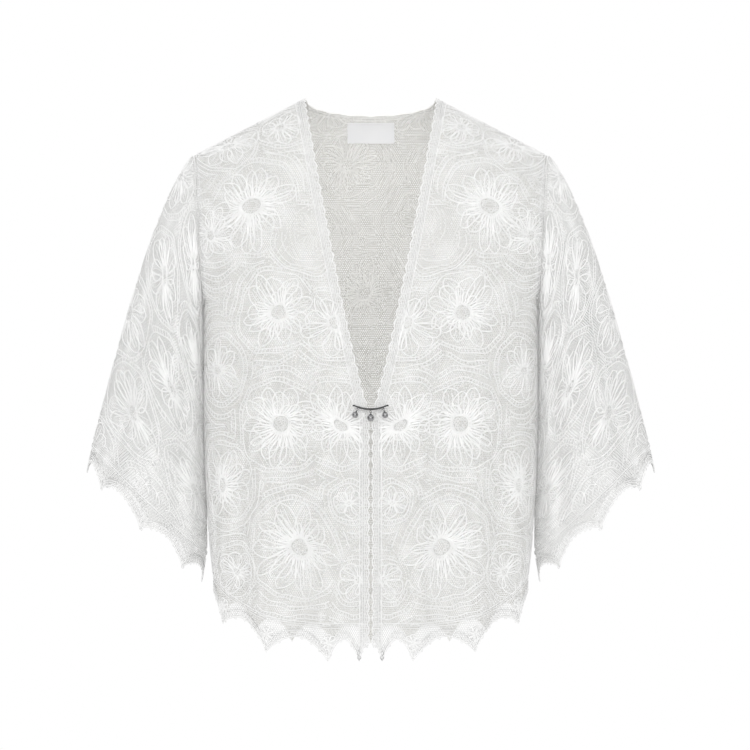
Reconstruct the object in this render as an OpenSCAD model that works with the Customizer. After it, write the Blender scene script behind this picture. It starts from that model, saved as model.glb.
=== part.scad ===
// Open-front lace top with wide hanging sleeves, held closed by a curved bar
// brooch with three bead drops.  Worn shape, hanging from the shoulders.
// The front faces -Y and the wearer's left is +X.  The origin lies midway
// between the shoulders, at the height of the neck points.

/* [Body] */
// Half the distance between the two neck points
neck_half = 77; // [60:1:95]
// Half the distance between the two shoulder tips
shoulder_half = 207; // [180:1:230]
// Fall of the shoulder line from neck point to tip
shoulder_fall = 66; // [40:1:90]
// Half width of the body just below the arms
chest_half = 198; // [170:1:215]
// Half width of the body near the hem
body_half = 186; // [160:1:210]
// Depth of the front ahead of the shoulder line
front_depth = 118; // [90:1:140]
// Share of the front depth reached at the top of the chest
front_top = 0.74; // [0.5:0.02:1]
// Share of the back depth reached at the top of the back
back_top = 0.84; // [0.5:0.02:1]
// Depth of the back behind the shoulder line
back_depth = 110; // [80:1:130]
// Roundness of the body seen from above
body_power = 2.5; // [2:0.1:3]
// Height over which the cloth rolls off the shoulder
roll_height = 78; // [60:1:120]
// How far the cloth draws in toward the hem
hem_draw = 0.06; // [0:0.01:0.15]
// Height of the soft folds at the hem
fold_height = 4; // [0:0.5:8]
// Width of one soft fold
fold_width = 58; // [40:1:90]

/* [Neck] */
// Length of the V from neck point to brooch
vee_length = 370; // [300:1:420]
// Curve of the V line
vee_power = 0.85; // [0.6:0.05:1.2]
// Half gap between the two front edges
edge_gap = 0.9; // [0.5:0.1:2]
// Dip of the back neckline below the neck points
back_neck_dip = 15; // [8:1:25]
// Width of the scalloped front edging
edging = 12; // [8:1:18]
// Depth of the small scallops of the edging
edging_scallop = 3; // [1:0.5:5]

/* [Armhole and sleeve] */
// Height of the armhole below the shoulder tip
armhole = 184; // [150:1:220]
// How far the cloth stands out beside the armhole
armhole_swell = 17; // [8:1:30]
// Outer corner of the sleeve opening, across
cuff_outer_x = 336; // [280:1:380]
// Outer corner of the sleeve opening, down
cuff_outer_z = 442; // [380:1:500]
// Inner tip of the sleeve opening, across
cuff_inner_x = 201; // [195:1:230]
// Inner tip of the sleeve opening, down
cuff_inner_z = 571; // [500:1:620]
// Half depth of the sleeve, front to back
sleeve_depth = 57; // [40:1:80]
// Outward swell of the upper sleeve
sleeve_swell = 15; // [0:1:30]

/* [Hem and edgings] */
// Lowest point of the body hem
hem_low = 655; // [600:1:720]
// Rise of the hem toward the sides
hem_rise = 38; // [0:1:60]
// Depth of the hem scallops
hem_scallop = 24; // [10:1:35]
// Height of the hem edging from its seam to the scallop points
hem_band = 42; // [30:1:60]
// Height of the sleeve edging
cuff_band = 34; // [20:1:50]
// Depth of the sleeve scallops
cuff_scallop = 17; // [8:1:25]

/* [Cloth] */
// Thickness of the lace
lace = 1.2; // [0.8:0.1:2]
// Thickness of the heavier edgings
trim = 1.7; // [1:0.1:2.5]
// Gap left between pieces that move apart
seam_gap = 0.3; // [0.2:0.05:0.6]
// Radius of an overlocked seam
seam_r = 0.9; // [0.6:0.1:1.4]
// Width of the blank neck label
label_w = 57; // [40:1:70]

/* [Brooch] */
// Curve radius of the bar
bar_r = 44.5; // [35:0.5:60]
// Half length of the bar along the chord
bar_half = 19.7; // [15:0.1:25]
// Height of the lowest point of the bar's centre line
bar_low = 366.3; // [340:0.1:390]
// Thickness of the bar at its middle
bar_mid = 2.3; // [1.5:0.1:4]
// Thickness of the bar at its ends
bar_tip = 1.3; // [0.8:0.1:2]
// Depth of the bar, front to back
bar_deep = 1.9; // [1:0.1:3]
// Distance of the bar ahead of the shoulder line
bar_y = 123.4; // [118:0.1:130]
// Distance of the pin stem ahead of the shoulder line
stem_y = 119.8; // [118:0.1:125]
// Radius of the pin stem
stem_r = 0.45; // [0.3:0.05:0.7]
// Chord position of hinge post and catch
fix_x = 16.5; // [12:0.1:19]

/* [Drops] */
// Chord position of the outer drops
drop_x = 14.95; // [8:0.05:18]
// Radius of the middle bead
bead_mid = 3.9; // [2:0.1:6]
// Radius of the outer beads
bead_side = 3.5; // [2:0.1:6]
// Lean of the drop on the wearer's right
lean_right = 22; // [0:1:30]
// Lean of the drop on the wearer's left
lean_left = 12; // [0:1:30]
// Wire radius of loops and rings
wire = 0.25; // [0.2:0.01:0.4]
// Centre-line radius of the loops under the bar
loop_r = 0.85; // [0.7:0.01:1.2]
// Centre-line radius of the jump rings
ring_r = 1.25; // [1:0.01:2]
// Centre-line radius of the bead eyes
eye_r = 0.75; // [0.6:0.01:1.2]

/* [Hidden] */
slope = shoulder_fall / (shoulder_half - neck_half);
arc_z = -bar_low + bar_r;
fix_a = asin(fix_x / bar_r);
drop_a = asin(drop_x / (bar_r + 1.65));
drop_hang = 0.1;
cap_h = 1.35;
cap_r = 1.6;
front_cusps = [-13, 13, 49, 120, 172, 205];
back_cusps = [0, 48, 96, 140, 176, 212];

// ---------- body surface ----------
function ease(t) = let (c = min(max(t, 0), 1)) c * c * (3 - 2 * c);
function shoulder_z(x) = -slope * max(0, abs(x) - neck_half);
function side_x(d) = d < armhole
  ? chest_half + armhole_swell * (1 - pow(d / armhole, 4))
  : chest_half + (body_half - chest_half) * ease((d - armhole) / 330);
function arm_x(d) = d >= armhole ? side_x(d)
  : shoulder_half + (chest_half - shoulder_half) * pow(d / armhole, 0.8);
function roll(d) = sqrt(max(0, 1 - pow(1 - min(d / roll_height, 1), 2)));
function oval(x, d) = pow(max(0, 1 - pow(min(abs(x) / side_x(d), 1), body_power)),
  1 / body_power);
function fold(x, d) = fold_height * ease((d - 300) / 330)
  * cos(360 * x / fold_width + 20) * min(1, (side_x(d) - abs(x)) / 30);
function depth(x, d, back) = (back ? back_depth : front_depth)
  * (back ? back_top + (1 - back_top) * ease(d / 150)
    : front_top + (1 - front_top) * ease(d / 230))
  * (1 - hem_draw * ease((d - 250) / 390)) * oval(x, d) * roll(d) + fold(x, d);
function body_pt(x, d, back) = [x,
  back ? depth(x, d, true) + seam_gap : -depth(x, d, false) - seam_gap,
  shoulder_z(x) - d];
function vee_x(d) = d >= vee_length ? edge_gap
  : edge_gap + (neck_half - edge_gap) * pow(1 - d / vee_length, vee_power);
function hem_base(x) = -hem_low + hem_rise * pow(abs(x) / 172, 4);
function hem_top(x) = hem_base(x) + hem_band;
function drop_of(x, z) = shoulder_z(x) - z;
function step_d(t, split, low) = t <= split
  ? roll_height * (1 - cos(90 * t / split))
  : roll_height + (low - roll_height) * (t - split) / (1 - split);
function swell(x, cusps, k = 0) = k >= len(cusps) - 2 || x < cusps[k + 1]
  ? pow(sin(180 * min(max((x - cusps[k]) / (cusps[k + 1] - cusps[k]), 0), 1)), 0.8)
  : swell(x, cusps, k + 1);

// ---------- closed shells from a grid of points ----------
function unit(v) = v / max(norm(v), 1e-9);
function grid_normal(P, i, j, wrap) = let (
    m = len(P), n = len(P[0]),
    ja = wrap ? (j + n - 1) % n : max(j - 1, 0),
    jb = wrap ? (j + 1) % n : min(j + 1, n - 1),
    ia = max(i - 1, 0), ib = min(i + 1, m - 1))
  unit(cross(P[i][jb] - P[i][ja], P[ib][j] - P[ia][j]));

module shell(P, t, lift = 0, wrap = false, out = 1) {
  m = len(P);
  n = len(P[0]);
  nj = wrap ? n : n - 1;
  skin = [for (i = [0:m - 1]) for (j = [0:n - 1])
    P[i][j] + out * lift * grid_normal(P, i, j, wrap)];
  lining = [for (i = [0:m - 1]) for (j = [0:n - 1])
    P[i][j] + out * (lift - t) * grid_normal(P, i, j, wrap)];
  o = m * n;
  quads = concat(
    [for (i = [0:m - 2]) for (j = [0:nj - 1]) let (k = (j + 1) % n)
      [i * n + j, i * n + k, (i + 1) * n + k, (i + 1) * n + j]],
    [for (i = [0:m - 2]) for (j = [0:nj - 1]) let (k = (j + 1) % n)
      [o + i * n + j, o + (i + 1) * n + j, o + (i + 1) * n + k, o + i * n + k]],
    [for (j = [0:nj - 1]) let (k = (j + 1) % n) [j, o + j, o + k, k]],
    [for (j = [0:nj - 1]) let (k = (j + 1) % n, b = (m - 1) * n)
      [b + j, b + k, o + b + k, o + b + j]],
    wrap ? [] : [for (i = [0:m - 2])
      [i * n, (i + 1) * n, o + (i + 1) * n, o + i * n]],
    wrap ? [] : [for (i = [0:m - 2]) let (e = n - 1)
      [i * n + e, o + i * n + e, o + (i + 1) * n + e, (i + 1) * n + e]]);
  tris = [for (q = quads) each [[q[0], q[1], q[2]], [q[0], q[2], q[3]]]];
  flipped = [for (f = tris) [f[2], f[1], f[0]]];
  polyhedron(points = concat(skin, lining), faces = out > 0 ? flipped : tris,
    convexity = 12);
}

// A round cord through a list of points
module cord(path, r, sides = 6, loop = false) {
  m = len(path);
  P = [for (i = [0:m - 1]) let (
      a = loop ? path[(i + m - 1) % m] : path[max(i - 1, 0)],
      b = loop ? path[(i + 1) % m] : path[min(i + 1, m - 1)],
      t = unit(b - a),
      h = abs(t[1]) > 0.8 ? [0, 0, 1] : [0, 1, 0],
      p = unit(cross(t, h)), q = cross(t, p))
    [for (k = [0:sides - 1]) path[i] + r * (cos(360 * k / sides) * p
      + sin(360 * k / sides) * q)]];
  pts = [for (row = P) each row];
  rings = loop ? m : m - 1;
  side = [for (i = [0:rings - 1]) for (k = [0:sides - 1]) let (
      l = (k + 1) % sides, j = (i + 1) % m)
    each [[i * sides + k, j * sides + k, j * sides + l],
      [i * sides + k, j * sides + l, i * sides + l]]];
  caps = loop ? [] : [[for (k = [0:sides - 1]) k],
    [for (k = [sides - 1:-1:0]) (m - 1) * sides + k]];
  polyhedron(points = pts, faces = concat(side, caps), convexity = 6);
}

// ---------- front ----------
front_cols = 18;
front_rows = 22;
function front_in(d) = vee_x(d) + edging;
function front_grid() = [for (i = [0:front_rows]) let (t = i / front_rows)
  [for (j = [0:front_cols]) let (
      s = sin(90 * j / front_cols),
      d0 = step_d(t, 0.28, 560),
      x0 = front_in(d0) + (arm_x(d0) - front_in(d0)) * s,
      d = step_d(t, 0.28, drop_of(x0, hem_top(x0))),
      x = front_in(d) + (arm_x(d) - front_in(d)) * s)
    body_pt(x, d, false)]];

module front_panel() {
  color([0.95, 0.95, 0.94]) shell(front_grid(), lace, 0, false, -1);
}

trim_rows = 160;
function trim_grid() = [for (i = [0:trim_rows]) let (
    t = i / trim_rows,
    d = step_d(t, 0.22, drop_of(edging, hem_base(edging)) - 15),
    s = edging_scallop * abs(sin(45 * i)))
  [body_pt(vee_x(d) + s, d, false), body_pt(vee_x(d) + edging + 0.3, d, false)]];

module front_trim() {
  color([0.98, 0.98, 0.97]) shell(trim_grid(), trim, 0.5, false, -1);
}

hem_cols = 44;
hem_rows = 3;
function hem_grid(back, x0, x1, cusps) = [for (i = [0:hem_rows])
  [for (j = [0:hem_cols]) let (
      s = back ? sin(90 * (2 * j / hem_cols - 1)) : sin(90 * j / hem_cols),
      x = back ? x1 * s : x0 + (x1 - x0) * s,
      top = drop_of(x, hem_top(x)) - 0.4,
      low = drop_of(x, hem_base(x) + hem_scallop * swell(abs(x), cusps)))
    body_pt(x, top + (low - top) * i / hem_rows, back)]];

module hem_trim_front() {
  color([0.98, 0.98, 0.97])
    shell(hem_grid(false, edging + edge_gap + 0.2, body_half - 0.2, front_cusps),
      trim, 0.4, false, -1);
}

// ---------- back ----------
back_cols = 34;
back_rows = 20;
function neck_edge_a(c) = acos(1 - back_neck_dip * c / roll_height);
function neck_low_a(x) = abs(x) >= neck_half + edging ? 0
  : let (c = sqrt(1 - pow(x / (neck_half + edging), 2))) neck_edge_a(c) + 6 * c;
function back_grid() = [for (i = [0:back_rows]) let (t = i / back_rows)
  [for (j = [0:back_cols]) let (
      s = sin(90 * (2 * j / back_cols - 1)),
      x = arm_x(step_d(t, 0.3, 560)) * s,
      a0 = neck_low_a(x),
      low = drop_of(x, hem_top(x)),
      d = t <= 0.3 ? roll_height * (1 - cos(a0 + (90 - a0) * t / 0.3))
        : step_d(t, 0.3, low))
    body_pt(x, d, true)]];

module back_panel() {
  color([0.93, 0.92, 0.89]) shell(back_grid(), lace, 0, false, 1);
}

neck_cols = 56;
function neck_grid() = [for (i = [0:1]) [for (j = [0:neck_cols]) let (
    b = -90 + 180 * j / neck_cols,
    c = cos(b),
    sc = edging_scallop * abs(sin(45 * j)) * min(1, c * 3),
    a = i == 0 ? neck_edge_a(c) + 1.5 * sc / edging_scallop * min(1, c * 3)
      : neck_edge_a(c) + 6.3 * c,
    x = (neck_half + (i == 0 ? 0 : edging)) * sin(b))
  body_pt(x, roll_height * (1 - cos(a)), true)]];

module back_neck_trim() {
  color([0.97, 0.96, 0.93]) shell(neck_grid(), trim, 0.5, false, 1);
}

module hem_trim_back() {
  color([0.96, 0.96, 0.94])
    shell(hem_grid(true, 0, body_half - 0.2, back_cusps), trim, 0.4, false, 1);
}

label_grid = [for (i = [0:4]) [for (j = [0:8]) let (
    x = label_w * (j / 8 - 0.5),
    a = acos(1 - 22 / roll_height) + (acos(1 - 44 / roll_height)
      - acos(1 - 22 / roll_height)) * i / 4)
  body_pt(x, roll_height * (1 - cos(a)), true)]];

module neck_label() {
  color([0.97, 0.97, 0.97]) shell(label_grid, 0.7, -1.6, false, 1);
}

// ---------- seams ----------
module shoulder_seam() {
  color([0.97, 0.97, 0.95])
    cord([for (i = [0:12]) let (x = neck_half + edging + 1
      + (shoulder_half - neck_half - edging - 5) * i / 12)
      [x, 1.5, shoulder_z(x) - 1.3]], seam_r);
}

module side_seam() {
  color([0.97, 0.97, 0.95])
    cord([for (i = [0:10]) let (d = armhole + 6 + (500 - armhole - 6) * i / 10)
      [side_x(d) - 1.3, 1.6, shoulder_z(side_x(d)) - d]], seam_r);
}

function arm_ring(th, away, pinch, tuck) = let (
    d = armhole * (1 - cos(th)) / 2,
    x = arm_x(d),
    f = th <= 180 ? -depth(x, d, false) : depth(x, d, true))
  [x + away, f * pinch, shoulder_z(x) - d - tuck * cos(th)];

module armhole_seam() {
  color([0.97, 0.97, 0.95])
    cord([for (k = [0:31]) arm_ring(360 * k / 32, -3, 0.952, 3.2)],
      seam_r, 6, true);
}

// ---------- sleeve ----------
sleeve_cols = 28;
sleeve_rows = 16;
ax = unit([(cuff_outer_x + cuff_inner_x) / 2 - chest_half - 5, 0,
  -(cuff_outer_z + cuff_inner_z) / 2 + 155]);
function cuff_ring(th, back_off) = let (k = (1 - cos(th)) / 2)
  [cuff_outer_x + (cuff_inner_x - cuff_outer_x) * k,
    -sleeve_depth * sin(th) * (1 + 0.06 * cos(3 * th)),
    -cuff_outer_z - (cuff_inner_z - cuff_outer_z) * k] - back_off * ax;
function sleeve_pt(th, v) = let (
    a = arm_ring(th, 2, 0.93, 0),
    b = cuff_ring(th, cuff_band),
    g = sleeve_swell * sin(180 * pow(v, 0.6)) * (1 + cos(th)) / 2,
    w = 4 * sin(180 * pow(v, 0.5)) * (1 - cos(th)) / 2,
    p = 3 * sin(180 * v) * sin(th) * abs(sin(th)))
  a + (b - a) * v + [g + w, -p, 0.35 * g];

module sleeve() {
  color([0.95, 0.95, 0.94])
    shell([for (i = [0:sleeve_rows]) [for (k = [0:sleeve_cols - 1])
      sleeve_pt(360 * k / sleeve_cols, pow(i / sleeve_rows, 1.15))]],
      lace, 0, true, -1);
}

cuff_cols = 64;
module cuff_trim() {
  color([0.98, 0.98, 0.97])
    shell([for (i = [0:3]) [for (k = [0:cuff_cols - 1]) let (
        th = 360 * k / cuff_cols,
        c = abs(sin(180 * k / (cuff_cols / 8))),
        low = cuff_scallop * pow(c, 0.8))
      cuff_ring(th, cuff_band + 0.3 - (cuff_band + 0.3 - low) * i / 3)]],
      trim, 0.4, true, -1);
}

module sleeve_seam() {
  color([0.97, 0.97, 0.95])
    cord([for (i = [0:10]) sleeve_pt(180, 0.06 + 0.9 * i / 10)
      + [2.2, 0, 0.9]], seam_r);
}

// ---------- brooch ----------
module on_arc(a, r) {
  translate([r * sin(a), 0, arc_z - r * cos(a)]) rotate([0, -a, 0]) children();
}

module torus(big, small) {
  rotate_extrude($fn = 48) translate([big, 0]) circle(r = small, $fn = 24);
}

module brooch_bar() {
  ro = bar_r + bar_mid / 2;
  color([0.08, 0.08, 0.09])
    translate([0, -bar_y, arc_z]) rotate([90, 0, 0])
      translate([0, 0, -bar_deep / 2]) intersection() {
        linear_extrude(bar_deep) difference() {
          circle(r = ro, $fn = 180);
          translate([0, bar_lift]) circle(r = bar_inner, $fn = 180);
        }
        translate([-bar_half, -bar_r - 6, -1]) cube([2 * bar_half, 14, bar_deep + 2]);
      }
}

// The inner curve is wider, so that the bar thins toward its ends
bar_in_mid = bar_r - bar_mid / 2;
bar_end_z = sqrt(pow(bar_r + bar_mid / 2, 2) - bar_half * bar_half) - bar_tip;
bar_inner = (bar_half * bar_half + pow(bar_in_mid - bar_end_z, 2))
  / (2 * (bar_in_mid - bar_end_z));
bar_lift = bar_inner - bar_in_mid;

module bar_tips() {
  color([0.08, 0.08, 0.09]) for (s = [-1, 1])
    translate([s * bar_half, -bar_y, arc_z - bar_end_z - bar_tip / 2])
      sphere(r = 0.95, $fn = 32);
}

loop_out = bar_r + bar_mid / 2 + 0.5;
module bar_loops() {
  color([0.3, 0.3, 0.32]) for (a = [-drop_a, 0, drop_a])
    translate([0, -bar_y, 0]) on_arc(a, loop_out)
      rotate([0, 90, 0]) torus(loop_r, wire);
}

module hinge_post() {
  color([0.5, 0.5, 0.52]) translate([0, 0, 0]) on_arc(-fix_a, bar_r)
    rotate([90, 0, 0]) {
      translate([0, 0, stem_y - 0.95])
        cylinder(r = 0.42, h = bar_y - stem_y - bar_deep / 2 + 1.05, $fn = 32);
      translate([0, 0, stem_y - 1.25]) cylinder(r = 0.9, h = 0.35, $fn = 32);
      translate([0, 0, stem_y + 0.7])
        cylinder(r = 0.9, h = bar_y - stem_y - bar_deep / 2 - 0.7, $fn = 32);
    }
}

module pin_stem() {
  color([0.7, 0.7, 0.72]) translate([0, -stem_y, 0]) {
    on_arc(-fix_a, bar_r) rotate([90, 0, 0]) difference() {
      cylinder(r = 1.15, h = 1.1, center = true, $fn = 32);
      cylinder(r = 0.52, h = 2, center = true, $fn = 32);
    }
    translate([0, 0, arc_z]) rotate([90, 0, 0])
      rotate([0, 0, -90 - fix_a + 1.2]) rotate_extrude(angle = 2 * fix_a + 0.8, $fn = 120)
        translate([bar_r, 0]) circle(r = stem_r, $fn = 24);
    on_arc(fix_a + 2, bar_r) rotate([0, 90, 0]) translate([0, 0, -0.15])
      cylinder(r1 = stem_r - 0.05, r2 = 0.08, h = 1.8, $fn = 24);
  }
}

// An open tube whose slot spans the angles a0 to a1 about its own X axis
module open_tube(ro, ri, len, a0, a1) {
  rotate([90, 0, 90]) translate([0, 0, -len / 2]) difference() {
    cylinder(r = ro, h = len, $fn = 40);
    translate([0, 0, -1]) cylinder(r = ri, h = len + 2, $fn = 40);
    translate([0, 0, -1]) linear_extrude(len + 2) polygon([[0, 0],
      [3 * cos(a0), 3 * sin(a0)],
      [4 * cos((2 * a0 + a1) / 3), 4 * sin((2 * a0 + a1) / 3)],
      [4 * cos((a0 + 2 * a1) / 3), 4 * sin((a0 + 2 * a1) / 3)],
      [3 * cos(a1), 3 * sin(a1)]]);
  }
}

module catch_housing() {
  color([0.5, 0.5, 0.52]) translate([0, -stem_y, 0]) on_arc(fix_a, bar_r) {
    open_tube(1.6, 1.2, 1.9, 10, 170);
    translate([-0.7, -(bar_y - stem_y - bar_deep / 2) - 0.05, -1.5])
      cube([1.4, bar_y - stem_y - bar_deep / 2 - 1.25, 1.9]);
  }
}

module catch_roller() {
  color([0.6, 0.6, 0.62]) translate([0, -stem_y, 0]) on_arc(fix_a, bar_r) {
    open_tube(1.08, 0.66, 2.1, -48, 28);
    rotate([45, 0, 0]) translate([-0.35, 0.95, -0.16]) cube([0.7, 1.15, 0.32]);
  }
}

// ---------- drops ----------
// One drop hangs from its loop along its own -Z
module hang(a, lean) {
  translate([loop_out * sin(a), -bar_y, arc_z - loop_out * cos(a)])
    rotate([0, lean, 0]) children();
}

module jump_ring() {
  color([0.3, 0.3, 0.32]) translate([0, 0, -drop_hang - ring_r])
    rotate([90, 0, 0]) torus(ring_r, wire);
}

eye_z = -2 * drop_hang - 2 * ring_r;
module bead_eye() {
  color([0.3, 0.3, 0.32]) translate([0, 0, eye_z])
    rotate([0, 90, 0]) torus(eye_r, wire);
}

cap_top = eye_z - eye_r - 0.1;
module bead_cap() {
  color([0.3, 0.3, 0.32]) translate([0, 0, cap_top - cap_h])
    cylinder(r1 = cap_r, r2 = 0.6, h = cap_h, $fn = 32);
}

module bead(r) {
  color([0.8, 0.8, 0.82])
    translate([0, 0, cap_top - cap_h - sqrt(r * r - cap_r * cap_r) + 0.15])
      sphere(r = r, $fn = 64);
}

back_panel();
back_neck_trim();
neck_label();
shoulder_seam();  // shoulder_seam_left
mirror([1, 0, 0]) shoulder_seam();  // shoulder_seam_right
side_seam();  // side_seam_left
mirror([1, 0, 0]) side_seam();  // side_seam_right
armhole_seam();  // armhole_seam_left
mirror([1, 0, 0]) armhole_seam();  // armhole_seam_right
hem_trim_back();
front_panel();  // front_panel_left
front_trim();  // front_trim_left
hem_trim_front();  // hem_trim_front_left
mirror([1, 0, 0]) front_panel();  // front_panel_right
mirror([1, 0, 0]) front_trim();  // front_trim_right
mirror([1, 0, 0]) hem_trim_front();  // hem_trim_front_right
sleeve();  // sleeve_left
cuff_trim();  // cuff_trim_left
sleeve_seam();  // sleeve_seam_left
mirror([1, 0, 0]) sleeve();  // sleeve_right
mirror([1, 0, 0]) cuff_trim();  // cuff_trim_right
mirror([1, 0, 0]) sleeve_seam();  // sleeve_seam_right
brooch_bar();
bar_tips();
bar_loops();
hinge_post();
catch_housing();
pin_stem();
catch_roller();
hang(-drop_a, lean_right) jump_ring();  // jump_ring_right
hang(-drop_a, lean_right) bead_eye();  // bead_eye_right
hang(-drop_a, lean_right) bead_cap();  // bead_cap_right
hang(-drop_a, lean_right) bead(bead_side);  // bead_right
hang(0, 0) jump_ring();  // jump_ring_middle
hang(0, 0) bead_eye();  // bead_eye_middle
hang(0, 0) bead_cap();  // bead_cap_middle
hang(0, 0) bead(bead_mid);  // bead_middle
hang(drop_a, -lean_left) jump_ring();  // jump_ring_left
hang(drop_a, -lean_left) bead_eye();  // bead_eye_left
hang(drop_a, -lean_left) bead_cap();  // bead_cap_left
hang(drop_a, -lean_left) bead(bead_side);  // bead_left
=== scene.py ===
import math
import bpy
import numpy as np
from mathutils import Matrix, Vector


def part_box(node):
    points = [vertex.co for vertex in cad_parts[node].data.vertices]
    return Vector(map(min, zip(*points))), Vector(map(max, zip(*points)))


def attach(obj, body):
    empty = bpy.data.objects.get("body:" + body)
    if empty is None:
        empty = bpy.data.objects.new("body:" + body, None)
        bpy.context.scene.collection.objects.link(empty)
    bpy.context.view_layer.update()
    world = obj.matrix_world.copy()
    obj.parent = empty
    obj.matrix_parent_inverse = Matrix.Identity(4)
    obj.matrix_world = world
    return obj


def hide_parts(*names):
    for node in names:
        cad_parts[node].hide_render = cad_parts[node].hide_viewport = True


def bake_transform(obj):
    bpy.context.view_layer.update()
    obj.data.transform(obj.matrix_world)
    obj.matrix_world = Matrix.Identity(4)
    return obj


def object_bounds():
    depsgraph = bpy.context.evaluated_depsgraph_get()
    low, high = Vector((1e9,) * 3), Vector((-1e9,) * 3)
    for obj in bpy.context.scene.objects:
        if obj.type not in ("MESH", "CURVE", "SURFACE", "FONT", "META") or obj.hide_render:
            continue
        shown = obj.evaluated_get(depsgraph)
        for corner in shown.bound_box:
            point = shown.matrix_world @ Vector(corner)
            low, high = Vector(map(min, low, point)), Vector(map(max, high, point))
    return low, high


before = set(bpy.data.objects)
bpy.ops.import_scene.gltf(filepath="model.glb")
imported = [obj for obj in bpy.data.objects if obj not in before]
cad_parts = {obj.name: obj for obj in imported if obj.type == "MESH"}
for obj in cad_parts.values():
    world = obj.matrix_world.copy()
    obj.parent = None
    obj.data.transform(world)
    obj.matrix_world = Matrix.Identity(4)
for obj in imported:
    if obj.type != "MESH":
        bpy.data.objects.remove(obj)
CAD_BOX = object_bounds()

# ---------------------------------------------------------------- sizes
# Lengths of the cloth are in millimetres of the frame; K follows the frame.
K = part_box("back_panel")[1].x / 0.207
MM = 0.001 * K
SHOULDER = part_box("back_panel")[1].x / MM
EDGING = 12.0
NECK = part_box("front_trim_left")[1].x / MM - EDGING - 0.3
SHOULDER_FALL = 66.0
CHEST = 198.0
BODY = 186.0
FRONT_DEPTH, BACK_DEPTH = 118.0, 110.0
FRONT_TOP, BACK_TOP = 0.74, 0.84
POWER = 2.5
ROLL = 78.0
DRAW = 0.06
FOLD, FOLD_WIDTH = 4.0, 58.0
SOFT_FOLD = 3.6
VEE, VEE_POWER = 370.0, 0.85
EDGE_GAP = 0.9
NECK_DIP = 15.0
ARMHOLE, ARM_SWELL = 184.0, 17.0
CUFF_OUT = (336.0, 442.0)
CUFF_IN = (201.0, 571.0)
SLEEVE_DEPTH, SLEEVE_SWELL = 57.0, 15.0
HEM_LOW, HEM_RISE, HEM_SCALLOP, HEM_BAND = 655.0, 38.0, 24.0, 42.0
CUFF_BAND, CUFF_SCALLOP, CUFF_WAVES = 34.0, 17.0, 8
SLOPE = SHOULDER_FALL / (SHOULDER - NECK)
FRONT_CUSPS = (-13, 13, 49, 120, 172, 205)
BACK_CUSPS = (0, 48, 96, 140, 176, 212)
GAP = 0.3


def ease(t):
    t = np.clip(t, 0, 1)
    return t * t * (3 - 2 * t)


def sin(a):
    return np.sin(np.radians(a))


def cos(a):
    return np.cos(np.radians(a))


def shoulder_z(x):
    return -SLOPE * np.maximum(0, np.abs(x) - NECK)


def side_x(d):
    return np.where(d < ARMHOLE,
                    CHEST + ARM_SWELL * (1 - np.power(np.clip(d, 0, ARMHOLE) / ARMHOLE, 4)),
                    CHEST + (BODY - CHEST) * np.clip((d - ARMHOLE) / 330, 0, 1) ** 3)


def arm_x(d):
    t = np.clip(d, 0, ARMHOLE) / ARMHOLE
    return np.where(d >= ARMHOLE, side_x(d), SHOULDER + (CHEST - SHOULDER) * np.power(t, 0.8))


def roll(d):
    return np.sqrt(np.maximum(0, 1 - (1 - np.clip(d / ROLL, 0, 1)) ** 2))


def oval(x, d):
    t = np.minimum(np.abs(x) / side_x(d), 1)
    return np.power(np.maximum(0, 1 - np.power(t, POWER)), 1 / POWER)


def fold(x, d):
    edge = np.minimum(1, (side_x(d) - np.abs(x)) / 30)
    hem = FOLD * ease((d - 300) / 330) * np.cos(np.radians(360 * x / FOLD_WIDTH + 20)) * edge
    soft = SOFT_FOLD * ease((d - 130) / 300) * ease((x - 34) / 40) * edge
    return hem + soft * (cos(360 * x / 74 + 0.18 * d + 40) + 0.5 * cos(360 * x / 41 - 0.1 * d)
                         - 0.6)


def depth(x, d, back):
    top = BACK_TOP + (1 - BACK_TOP) * ease(d / 150) if back \
        else FRONT_TOP + (1 - FRONT_TOP) * ease(d / 230)
    full = BACK_DEPTH if back else FRONT_DEPTH
    return full * top * (1 - DRAW * ease((d - 250) / 390)) * oval(x, d) * roll(d) \
        + fold(np.abs(x), d)


def vee_x(d):
    t = np.clip(1 - d / VEE, 0, 1)
    return EDGE_GAP + (NECK - EDGE_GAP) * np.power(t, VEE_POWER)


def hem_base(x):
    return -HEM_LOW + HEM_RISE * (np.abs(x) / 172) ** 4


def swell(x, cusps):
    x = np.abs(x)
    out = np.zeros_like(x, dtype=float)
    for a, b in zip(cusps[:-1], cusps[1:]):
        inside = (x >= a) & (x < b)
        out = np.where(inside, np.power(np.clip(sin(180 * (x - a) / (b - a)), 0, 1), 0.8), out)
    return out


def neck_edge_a(c):
    return np.degrees(np.arccos(1 - NECK_DIP * c / ROLL))


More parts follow.
